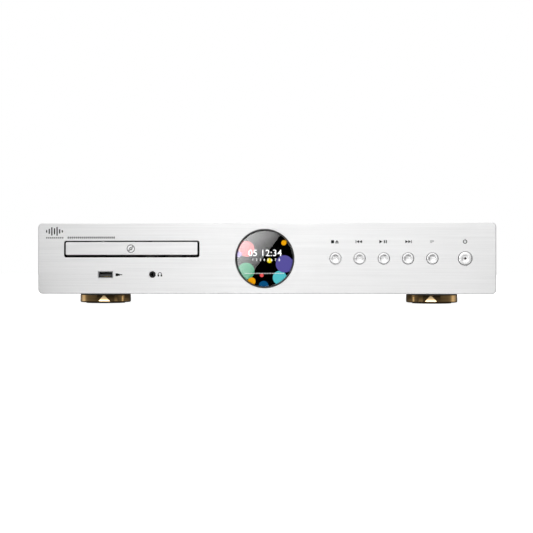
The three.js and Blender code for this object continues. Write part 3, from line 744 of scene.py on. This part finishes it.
display_ring()
display_cover()
paint(NODES["display_module"].data, screen_black())
for i, (tone, (u, v, r, color)) in enumerate(DOTS.items()):
    screen_piece(f"screen_dot_{tone}", [circle(u, v, r, 72)], color, 0.95 if r < 4 else 0.85, 1 + i % 2)
digits("screen_time", "05 12:34", 8.6, 0.2, 5.0, 1.0, spacing=1.06, weight=0.04, strength=1.4)
tracks = "1 2 3 4 5 6 7 8"
digits("screen_track_numbers", tracks, 3.3, 1.2, -1.3, 0.95, spacing=1.3, weight=0.02, strength=1.3)
SEEK_START, SEEK_PITCH, SEEK_DASH = -18.9, 1.5, 0.85
starts = [SEEK_START + SEEK_PITCH * i for i in range(25)]
dashes = [bar(x, x + SEEK_DASH, -14.3, -13.5) for x in starts]
screen_piece("screen_seek_bar", dashes, grey(0.9), 0.95, TOP_LAYER)

# ---- Buttons ---------------------------------------------------------------------------------


def button_profile(radius, dish_radius, dish_depth, bore=0.0):
    """Dished face, body, collar behind the panel and stem, as (radius, depth)."""
    face = FRONT - BUTTON_PROUD
    collar = PANEL_BACK + 0.3
    steps = 8
    profile = []
    for i in range(steps + 1):
        r = bore + (dish_radius - bore) * i / steps
        profile.append((r, face + dish_depth * (1 - (r / dish_radius) ** 2)))
    profile += [
        (dish_radius + 0.15, face),
        (radius - 0.2, face),
        (radius - 0.05, face + 0.06),
        (radius, face + 0.2),
        (radius, collar),
        (radius + 1.6, collar),
        (radius + 1.6, collar + 1.0),
        (2.0, collar + 1.0),
        (2.0, STEM_END),
        (bore, STEM_END),
    ]
    if bore:
        profile.append(profile[0])
    return profile


for name, x in zip(BUTTON_NAMES, BUTTON_XS):
    mesh = lathe(button_profile(BUTTON_RADIUS, 3.9, 0.56), 56, "Y", (x, 0, BUTTON_Z))
    finished(f"{name}_cap", mesh, TURNED, name, [name])

power_profile = button_profile(POWER_RADIUS, 3.6, 0.36, LAMP_RADIUS + 0.04)
mesh = lathe(power_profile, 64, "Y", (POWER_X, 0, BUTTON_Z))
finished("power_button_cap", mesh, TURNED, "power_button", ["power_button"])
lamp_front, lamp_back = node_box("power_light")[0].y, -140
dome = [(0, lamp_front), (0.6, lamp_front + 0.05), (LAMP_RADIUS, lamp_front + 0.3)]
dome += [(LAMP_RADIUS, lamp_back), (0, lamp_back)]
LAMP_TONES = (0.016, 0.003, 0.003), (0.022, 0.004, 0.004)
LAMP = moulded("dark_red_lamp", *LAMP_TONES, roughness=0.35, grain=0.001)
mesh = lathe(dome, 32, "Y", (POWER_X, 0, BUTTON_Z))
finished("power_lamp", mesh, LAMP, "power_button", ["power_light"])

# ---- Printed symbols -------------------------------------------------------------------------


def printed(name, loops, material=INK, body="chassis"):
    """Ink on the front face, a few hundredths of a millimetre thick."""
    mesh = plate(loops, FRONT - 0.03, FRONT + 0.02)
    finished(name, mesh, material, body)


def triangle(x, z, size, towards):
    """A triangle pointing to +1 or -1 along X, centred on a point."""
    h = size / 2
    return [(x - towards * h * 0.9, z - h), (x + towards * h * 0.9, z), (x - towards * h * 0.9, z + h)]


def bar_at(x, z, left, right, low, high):
    """A bar whose sides are given from a point."""
    return bar(x + left, x + right, z + low, z + high)


def ring(x, z, outer, inner, steps):
    return [circle(x, z, outer, steps), circle(x, z, inner, steps)]


def arc_band(x, z, outer, inner, start, end, steps):
    """A band of a ring between two angles, in degrees."""
    angles = [math.radians(start + (end - start) * i / steps) for i in range(steps + 1)]
    out = [(x + outer * math.cos(a), z + outer * math.sin(a)) for a in angles]
    back = [(x + inner * math.cos(a), z + inner * math.sin(a)) for a in reversed(angles)]
    return out + back


def skip_outlines(x, z, towards):
    """Two arrows and an end bar, pointing to +1 or -1 along X."""
    arrows = [triangle(x + towards * along, z, 2.9, towards) for along in (-1.45, 1.2)]
    ends = sorted((towards * 2.55, towards * 3.2))
    return arrows + [bar_at(x, z, *ends, -1.4, 1.4)]


def symbols():
    """The row of symbols above the buttons."""
    stop, previous, play, following, source = BUTTON_XS
    z = SYMBOL_Z
    printed("symbol_stop", [rounded(stop - 4.1, stop - 1.2, z - 1.45, z + 1.45, 0.4, 3)])
    x = stop + 1.4
    wedge = [(x - 1.6, z - 0.3), (x + 1.6, z - 0.3), (x, z + 1.5)]
    printed("symbol_eject", [wedge, bar_at(x, z, -1.6, 1.6, -1.5, -0.7)])
    printed("symbol_previous", skip_outlines(previous - 0.5, z, -1))
    printed("symbol_play", [triangle(play - 2.7, z, 3.3, 1)])
    x = play + 1.4
    pause = [bar_at(x, z, *sides, -1.45, 1.45) for sides in ((-1.4, -0.35), (0.35, 1.4))]
    printed("symbol_pause", pause)
    printed("symbol_next", skip_outlines(following + 0.2, z, 1))
    x = source - 0.4
    lines = [bar_at(x, z, -1.8, 1.8, 0.65, 1.05), bar_at(x, z, -1.8, 1.8, -0.2, 0.2)]
    printed("symbol_source", lines + [bar_at(x, z, -1.8, 0.2, -1.05, -0.65)], GREY_INK)
    x = POWER_X - 0.2
    arc = arc_band(x, z, 2.0, 1.25, 125, 415, 28)
    printed("symbol_power", [arc, bar_at(x, z, -0.38, 0.38, 0.2, 2.4)])


def socket_symbols():
    """A plug beside the USB socket and headphones beside the jack."""
    x, z = -137.8, 27.8
    half = [(-3.2, 1.3), (-0.7, 1.3), (-0.7, 0.9), (0.9, 0.9), (0.9, 0.4), (3.2, 0.4)]
    plug = [(x + u, z + v) for u, v in half] + [(x + u, z - v) for u, v in reversed(half)]
    printed("symbol_data_plug", [plug])
    x, z = -98.9, 28.2
    phones = [
        arc_band(x, z, 2.0, 1.35, 0, 180, 20),
        rounded(x - 2.1, x - 0.7, z - 2.0, z - 0.1, 0.3, 3),
        rounded(x + 0.7, x + 2.1, z - 2.0, z - 0.1, 0.3, 3),
    ]
    printed("symbol_headphones", phones)


def maker_mark():
    """A plain row of sound-level bars where a maker would print a mark, and dashed rules by it."""
    left, z, pitch, half = -206.9, 68.9, 2.5, 0.6
    bars = []
    for i, height in enumerate([2.6, 5.0, 8.0, 6.0, 8.4, 4.2, 2.4]):
        x = left + pitch * i
        bars.append(rounded(x - half, x + half, z - height / 2, z + height / 2, 0.58, 4))
    printed("sound_bars_mark", bars)
    short_left, long_left, z, pitch = -207.4, -186.8, 62.0, 1.9
    short = [bar_at(short_left + pitch * i, z, 0, 1.3, 0.1, 1.5) for i in range(9)]
    printed("short_rule", short, GREY_INK)
    long = [bar_at(long_left + pitch * i, z, 0, 1.4, 0, 1.8) for i in range(24)]
    printed("long_rule", long, GREY_INK)


def disc_mark():
    """A pictogram of a disc on the drawer's front."""
    x, z = -126.5, 52.4
    loops = ring(x, z, 3.9, 3.2, 48) + ring(x, z, 1.5, 0.6, 32)
    printed("disc_mark", loops, GREY_INK, body="tray")
    shine = [arc_band(x, z, 2.9, 1.9, 25, 65, 8), arc_band(x, z, 2.9, 1.9, 205, 245, 8)]
    printed("disc_mark_shine", shine, GREY_INK, body="tray")


symbols()
socket_symbols()
maker_mark()
disc_mark()

# ---- Front sockets ---------------------------------------------------------------------------


def data_socket():
    """Folded steel shell of the USB socket, with a rounded section."""
    low, high = node_box("usb_socket")
    wall = 0.35

    def inside(inset, radius):
        return rounded(low.x + inset, high.x - inset, low.z + inset, high.z - inset, radius, 4)

    outer, inner, lining = inside(0, 0.7), inside(wall, 0.4), inside(wall + 0.1, 0.3)
    shell = plate([outer, inner], low.y, high.y)
    finished("data_socket_shell", shell, ZINC, "chassis", ["usb_socket"])
    sides = plate([inner, lining], low.y + 0.6, high.y - 0.6)
    end = plate([inner], high.y - 0.5, high.y - 0.1)
    finished("data_socket_lining", joined(sides, end), BLACK, "chassis")
    low, high = node_box("usb_tongue")
    blade = plate([bar(low.x + 0.4, high.x - 0.4, USB_Z - 1.7, USB_Z + 0.2)], low.y, high.y - 1.5)
    root = plate([bar(low.x, high.x, low.z, high.z)], high.y - 2.7, high.y)
    finished("data_socket_tongue", joined(blade, root), GREY, "chassis", ["usb_tongue"])
    strips = []
    for i in range(4):
        x = USB_X - 3.5 + i * 7.0 / 3
        strips.append(plate([bar(x - 0.5, x + 0.5, USB_Z - 1.9, USB_Z - 1.7)], low.y + 0.8, high.y - 3))
    finished("data_socket_contacts", joined(*strips), GOLD, "chassis")


def phone_socket():
    """Headphone jack: a bush in the faceplate, the socket's body behind it and the contact inside."""
    low, high = node_box("headphone_jack")
    bore, bush, body, shoulder = 1.85, 2.85, 6.0, -139.5
    profile = [
        (bore, low.y + 0.25),
        (bore + 0.2, low.y),
        (bush - 0.25, low.y),
        (bush, low.y + 0.25),
        (bush, shoulder),
        (body, shoulder),
        (body, high.y),
        (1.0, high.y),
        (1.0, high.y - 4),
        (bore, high.y - 4),
        (bore, low.y + 0.25),
    ]
    mesh = lathe(profile, 48, "Y", (JACK_X, 0, JACK_Z))
    finished("phone_socket_body", mesh, BLACK, "chassis", ["headphone_jack"])
    mesh = lathe(tube(0.95, 1.8, high.y - 6, high.y - 4.1), 32, "Y", (JACK_X, 0, JACK_Z))
    finished("phone_socket_contact", mesh, ZINC, "chassis")


data_socket()
phone_socket()

# ---- Feet ------------------------------------------------------------------------------------


def foot(name):
    """Turned foot with a rounded bottom edge, and the rubber washer between it and the case, kept dark
    so that it paints the shade under the faceplate's edge.
    """
    low, high = node_box(name)
    x, y = (low.x + high.x) / 2, (low.y + high.y) / 2
    r = (high.x - low.x) / 2
    pad_low, pad_high = node_box(name.replace("foot_", "foot_pad_"))
    recess = (pad_high.x - pad_low.x) / 2 + 0.3
    recess_top, edge = 2.2, 1.3
    profile = [(0, recess_top), (recess, recess_top), (recess, low.z + 0.2), (recess + 0.3, low.z)]
    for i in range(7):
        a = math.radians(-90 + 90 * i / 6)
        profile.append((r - edge + edge * math.cos(a), low.z + edge + edge * math.sin(a)))
    top = PANEL_LOW.z - 1.6  # below the faceplate's edge, so that the dark washer shows as a line of painted shade under the faceplate
    profile += [(r, top - 0.3), (r - 0.3, top), (0, top)]
    mesh = lathe(profile, 128, "Z")
    turned = finished(f"{name}_turned", mesh, GOLD_FOOT, "chassis", [name])
    under, over = top + 0.01, high.z - 0.02
    profile = [(0, under), (r - 0.35, under), (r - 0.25, top + 0.1), (r - 0.25, over), (0, over)]
    washer = finished(f"{name}_washer", lathe(profile, 128, "Z"), RUBBER, "chassis")
    for piece in (turned, washer):
        piece.location = (x * MM, y * MM, 0)


for corner in ["front_left", "front_right", "rear_left", "rear_right"]:
    foot(f"foot_{corner}")

# ---- Case ------------------------------------------------------------------------------------


def cover():
    """Folded cover with rounded bends and cooling slots."""
    low, high = node_box("top_cover")
    t, bend = 1.2, 2.4
    half = high.x

    def section(inset):
        r = max(bend - inset, 0.1)
        w, top = half - inset, high.z - inset
        points = [(-w, low.z)]
        for centre, start in (((-w + r, top - r), 180), ((w - r, top - r), 90)):
            for i in range(7):
                a = math.radians(start - 90 * i / 6)
                points.append((centre[0] + r * math.cos(a), centre[1] + r * math.sin(a)))
        points.append((w, low.z))
        return points

    loop = section(0) + list(reversed(section(t)))
    mesh = plate([loop], low.y, high.y)
    slots = []
    slot_front, slot_back, slot_half = -75, -21, 1.75
    for i in range(9):
        x = TRANSFORMER_X - 36 + 9 * i
        outline = rounded(x - slot_half, x + slot_half, slot_front, slot_back, slot_half - 0.01, 6)
        slots.append(plate([outline], high.z - 4, high.z + 3, facing="Z"))
    holes = []
    hole_radius, reach = 2.0, half + 5
    for y in SIDE_SCREW_YS:
        drill = lathe([(0, -reach), (hole_radius, -reach), (hole_radius, reach), (0, reach)], 24, "Y")
        for vertex in drill.vertices:
            u, v, w = vertex.co
            vertex.co = (v, y + u, SIDE_SCREW_Z + w)
        holes.append(drill)
    openings = joined(*slots, *holes)
    cut("folded_cover", mesh, [openings], PAINT, "chassis", ["top_cover"])


cover()


def screw_mesh(radius, depth):
    """A domed cross-head screw whose head stands out along -Z of its own frame."""
    dome = [(0, 0), (0.5, 0.06), (0.85, 0.35), (1, 0.75), (1, 1), (0, 1)]
    return lathe([(radius * r, depth * h) for r, h in dome], 40, "Z")


def cross_arms(radius, depth):
    """Cutters for the two arms of the cross in a screw's head."""
    long, short = 0.62 * radius, 0.14 * radius
    arms = [bar(-a, a, -b, b) for a, b in ((long, short), (short, long))]
    return [plate([arm], -1.0, 0.6 * depth, facing="Z") for arm in arms]


def screw(name, place, outward, radius, depth, replaces=()):
    """A cross-head screw at a place, its head facing outward: "+X", "-X" or "+Y"."""

    def placed(mesh):
        for vertex in mesh.vertices:
            u, v, w = vertex.co
            if outward == "+X":
                spot = (-w, u, v)
            elif outward == "-X":
                spot = (w, -u, v)
            else:
                spot = (-u, -w, v)
            vertex.co = Vector(spot) + Vector(place)
        return mesh

    head = placed(screw_mesh(radius, depth))
    arms = [placed(arm) for arm in cross_arms(radius, depth)]
    cut(name, head, arms, ZINC, "chassis", replaces)


for side, x in (("left", -215.0), ("right", 215.0)):
    outward = "-X" if side == "left" else "+X"
    for end, y in zip(("front", "rear"), SIDE_SCREW_YS):
        place = (x, y, SIDE_SCREW_Z)
        screw(f"side_screw_{end}_{side}", place, outward, 3.6, 1.45, [f"cover_screw_{end}_{side}"])

REAR = node_box("rear_panel")[1].y
REAR_SCREW_PROUD, INLET_SCREW_PROUD = 1.3, 1.1
rear_spots = [(-200, 66), (-200, 20), (0, 66), (200, 66), (200, 20), (-100, 66), (100, 66), (-100, 20)]
for i, (x, z) in enumerate(rear_spots):
    screw(f"rear_screw_{i}", (x, REAR + REAR_SCREW_PROUD, z), "+Y", 2.8, 1.25)
INLET_X, INLET_BACK, INLET_Z = 165, 142.5, 43
for i, dx in enumerate((-20, 20)):
    place = (INLET_X + dx, INLET_BACK + INLET_SCREW_PROUD, INLET_Z)
    screw(f"inlet_screw_{i}", place, "+Y", 2.6, 1.05)


def transformer_plate():
    """Pressed dish that clamps the transformer, and the head of the bolt through its middle."""
    x, y = TRANSFORMER_X, TRANSFORMER_Y
    dish = [(3.2, 50.8), (29.0, 50.8), (30.0, 51.3), (30.0, 52.3)]
    dish += [(28.6, 52.3), (24.0, 51.9), (3.2, 51.9), (3.2, 50.8)]
    washer = lathe(dish, 72, "Z", (x, y, 0))
    head = plate([circle(x, y, 5.5, 6)], 52.0, 56.5, 0.4, facing="Z")
    finished("transformer_clamp_plate", washer, ZINC, "chassis")
    finished("transformer_bolt_head", head, ZINC, "chassis")


transformer_plate()

for name, color in (("rca_socket_left", WHITE), ("rca_socket_right", RED), ("coaxial_socket", ORANGE)):
    low, high = node_box(name)
    x, z = (low.x + high.x) / 2, (low.z + high.z) / 2
    collar = lathe(tube(4.15, 6.0, REAR + 2.05, REAR + 3.4), 48, "Y", (x, 0, z))
    finished(f"{name}_ring", collar, color, "chassis")

# ---- Small radii on CAD pieces that stay -----------------------------------------------------


def softened(name, width, segments=2):
    """A bevel on a CAD node's edges, as its moulding or folding leaves them."""
    modifier = NODES[name].modifiers.new("radius", "BEVEL")
    modifier.width = width * MM
    modifier.segments = segments
    modifier.limit_method = "ANGLE"
    modifier.angle_limit = math.radians(40)


for name in NODES:
    mesh = NODES[name].data
    mesh.shade_smooth()
    mesh.set_sharp_from_angle(angle=math.radians(32))
softened("disc_tray", 0.35)
softened("mains_inlet", 0.3)
softened("rear_panel", 0.15, 1)
softened("optical_socket", 0.25)

# ---- Stage: floor, lights and cards ----------------------------------------------------------


def fill_ramp(ramp, stops):
    """Give a colour ramp its stops of (position, colour)."""
    elements = ramp.color_ramp.elements
    while len(elements) < len(stops):
        elements.new(0.5)
    for element, (position, color) in zip(elements, stops):
        element.position = position
        element.color = (*color, 1)


def card(name, corners, stops, tone=(1.0, 1.0, 1.0)):
    """A card that only reflections see. Its glow follows stops of (position along U, strength).

    The corners run round the card. U goes from its first and last corner to its second and third."""
    mesh = bpy.data.meshes.new(name)
    mesh.from_pydata([Vector(c) * MM for c in corners], [], [tuple(range(len(corners)))])
    layer = mesh.uv_layers.new(name="along")
    across = [0.0, 1.0, 1.0, 0.0]
    for loop, u in zip(layer.data, across):
        loop.uv = (u, 0.5)
    s = Shader(name, (0, 0, 0), roughness=1.0)
    s.bsdf.inputs["Specular IOR Level"].default_value = 0.0
    strongest = max(strength for _, strength in stops)
    s.bsdf.inputs["Emission Strength"].default_value = strongest
    place = s.add("ShaderNodeTexCoord")
    split = s.add("ShaderNodeSeparateXYZ")
    ramp = s.add("ShaderNodeValToRGB")
    shares = [(position, strength / (strongest or 1.0)) for position, strength in stops]
    fill_ramp(ramp, [(position, [channel * share for channel in tone]) for position, share in shares])
    s.link(place.outputs["UV"], split.inputs["Vector"])
    s.link(split.outputs["X"], ramp.inputs["Fac"])
    s.link(ramp.outputs["Color"], s.bsdf.inputs["Emission Color"])
    mesh.materials.append(s.material)
    thing = linked(name, mesh)
    for ray in ("camera", "diffuse", "shadow"):
        setattr(thing, f"visible_{ray}", False)


def floor():
    """Plain pale floor. From below it is clear, so that the underside can be seen."""
    half, below = 6000, 0.2
    corners = [Vector((u, v, -below)) * MM for u, v in bar(-half, half, -half, half)]
    mesh = bpy.data.meshes.new("floor")
    mesh.from_pydata(corners, [], [(0, 1, 2, 3)])
    s = Shader("floor", grey(0.5), roughness=0.9, Emission_Strength=0.97)
    s.bsdf.inputs["Emission Color"].default_value = (1, 1, 1, 1)
    s.bsdf.inputs["Specular IOR Level"].default_value = 0.0
    face = s.add("ShaderNodeNewGeometry")
    opaque = s.add("ShaderNodeMath")
    opaque.operation = "SUBTRACT"
    opaque.inputs[0].default_value = 1.0
    s.link(face.outputs["Backfacing"], opaque.inputs[1])
    s.link(opaque.outputs["Value"], s.bsdf.inputs["Alpha"])
    mesh.materials.append(s.material)
    ground = linked("floor", mesh)
    ground.visible_glossy = False
    ground.visible_transmission = False


def area_light(name, place, target, size, radiance):
    """A soft box of a given size in millimetres, as bright as its radiance says."""
    data = bpy.data.lights.new(name, "AREA")
    data.shape = "RECTANGLE"
    data.size, data.size_y = size[0] * MM, size[1] * MM
    data.energy = radiance * math.pi * data.size * data.size_y
    lamp = linked(name, data)
    lamp.location = Vector(place) * MM
    aim = (Vector(target) - Vector(place)).normalized()
    lamp.rotation_mode = "QUATERNION"
    lamp.rotation_quaternion = aim.to_track_quat("-Z", "Y")


def sky():
    """White where the camera looks past the object, and for other rays a studio with a dark horizon."""
    world = bpy.data.worlds.new("studio")
    bpy.context.scene.world = world
    world.use_nodes = True
    tree = world.node_tree
    tree.nodes.clear()
    place = tree.nodes.new("ShaderNodeTexCoord")
    split = tree.nodes.new("ShaderNodeSeparateXYZ")
    height = tree.nodes.new("ShaderNodeMapRange")
    ramp = tree.nodes.new("ShaderNodeValToRGB")
    dome = tree.nodes.new("ShaderNodeBackground")
    white = tree.nodes.new("ShaderNodeBackground")
    rays = tree.nodes.new("ShaderNodeLightPath")
    mix = tree.nodes.new("ShaderNodeMixShader")
    out = tree.nodes.new("ShaderNodeOutputWorld")
    height.inputs["From Min"].default_value = -1.0
    by_rise = [(-1.0, 0.3), (-0.17, 0.3), (-0.05, 0.05), (0.03, 0.05), (0.45, 0.55), (1.0, 0.55)]
    fill_ramp(ramp, [((rise + 1) / 2, grey(strength)) for rise, strength in by_rise])
    links = tree.links
    links.new(place.outputs["Generated"], split.inputs["Vector"])
    links.new(split.outputs["Z"], height.inputs["Value"])
    links.new(height.outputs["Result"], ramp.inputs["Fac"])
    links.new(ramp.outputs["Color"], dome.inputs["Strength"])
    dome.inputs["Color"].default_value = (1, 1, 1, 1)
    white.inputs["Color"].default_value = (1, 1, 1, 1)
    white.inputs["Strength"].default_value = 1.0
    links.new(rays.outputs["Is Camera Ray"], mix.inputs["Fac"])
    links.new(dome.outputs["Background"], mix.inputs[1])
    links.new(white.outputs["Background"], mix.inputs[2])
    links.new(mix.outputs["Shader"], out.inputs["Surface"])


CARD_AWAY = 2150  # from the faceplate to the cards that the display's glass mirrors


def mirrored(u, v):
    """The point on the far cards that shows at a place on the glass, given from the display's centre."""
    side = CAMERA_X * CARD_AWAY / CAMERA_AWAY
    lift = (DISPLAY_Z - CAMERA_Z) * CARD_AWAY / CAMERA_AWAY
    reach = (CAMERA_AWAY + CARD_AWAY) / CAMERA_AWAY
    return Vector((u * reach - side, FRONT - CARD_AWAY, DISPLAY_Z + v * reach + lift))


def display_cards():
    """A glowing and a dark card with a slanting edge between them: the glass's sheen and its black."""
    top, low = (19.8, 28.3), (-20.6, -25.0)
    far_top, far_low = (-7, 49), (-47, -5)
    sheen = [(0.0, 1.3), (1.0, 9.0)]
    corners = [mirrored(*low), mirrored(*far_low), mirrored(*far_top), mirrored(*top)]
    card("display_sheen", corners, sheen)
    dark = [mirrored(*low), mirrored(30, -32), mirrored(31, 28), mirrored(*top)]
    card("display_flag", dark, [(0.0, 0.0), (1.0, 0.0)])


def foot_cards():
    """Small reflectors for the front feet: a triangle before each one, and a strip beyond each side."""
    foot_radius = 24.7
    base, tip, low, high = 14.5, 1, -1, 7.4
    for x, y, shift in ((-160, -101, -4.5), (160, -101, -1.8)):
        towards = Vector((CAMERA_X - x, FRONT - CAMERA_AWAY - y, 0)).normalized()
        across = Vector((-towards.y, towards.x, 0))
        place = Vector((x, y, 0)) + towards * (foot_radius + 18)

        def spot(side, height):
            return place + across * side + Vector((0, 0, height))

        corners = [spot(shift - base, low), spot(shift - tip, high)]
        corners += [spot(shift + tip, high), spot(shift + base, low)]
        glow = [(0.0, 6.5), (0.2, 3.8), (0.45, 1.5), (1.0, 0.35)]
        card(f"foot_triangle_{x}", corners, glow, tone=(0.65, 0.75, 1.0))
        place = place + towards * 0.5
        corners = [spot(-25, -3), spot(-25, 9), spot(25, 9), spot(25, -3)]
        card(f"foot_flag_{x}", corners, [(0.0, 0.08), (0.35, 0.07), (0.7, 0.025), (1.0, 0.01)])
        reach = foot_radius + 20
        corners = [(x + u, y + v, -4) for u, v in bar(-reach, reach, -reach, reach)]
        card(f"foot_shade_{x}", corners, [(0.0, 0.03), (1.0, 0.03)])
    front, back = -305, 30
    glow = [(-305, 0.06), (-226, 0.1), (-150, 0.13), (-125, 0.2), (-112, 0.45), (-98, 0.78), (-80, 0.7)]
    glow += [(-60, 0.45), (-40, 0.3), (-11, 0.15), (30, 0.08)]
    stops = [((y - front) / (back - front), strength) for y, strength in glow]
    for side in (-1, 1):
        x = 262 * side
        corners = [(x, front, -60), (x, back, -60), (x, back, 9), (x, front, 9)]
        card(f"side_reflector_{side}", corners, stops)


floor()
sky()
area_light("front_box", (90, -2650, 760), (90, 0, 120), size=(2350, 1400), radiance=1.1)
area_light("middle_box", (20, -2600, 720), (20, 0, 120), size=(380, 1300), radiance=0.42)
area_light("low_box", (0, -2600, -330), (0, 0, 60), size=(2600, 420), radiance=1.3)
area_light("top_box", (0, 150, 1700), (0, 0, 0), size=(1600, 1200), radiance=1.6)
display_cards()
foot_cards()

bpy.context.scene.view_settings.view_transform = "Standard"
bpy.context.scene.view_settings.look = "None"
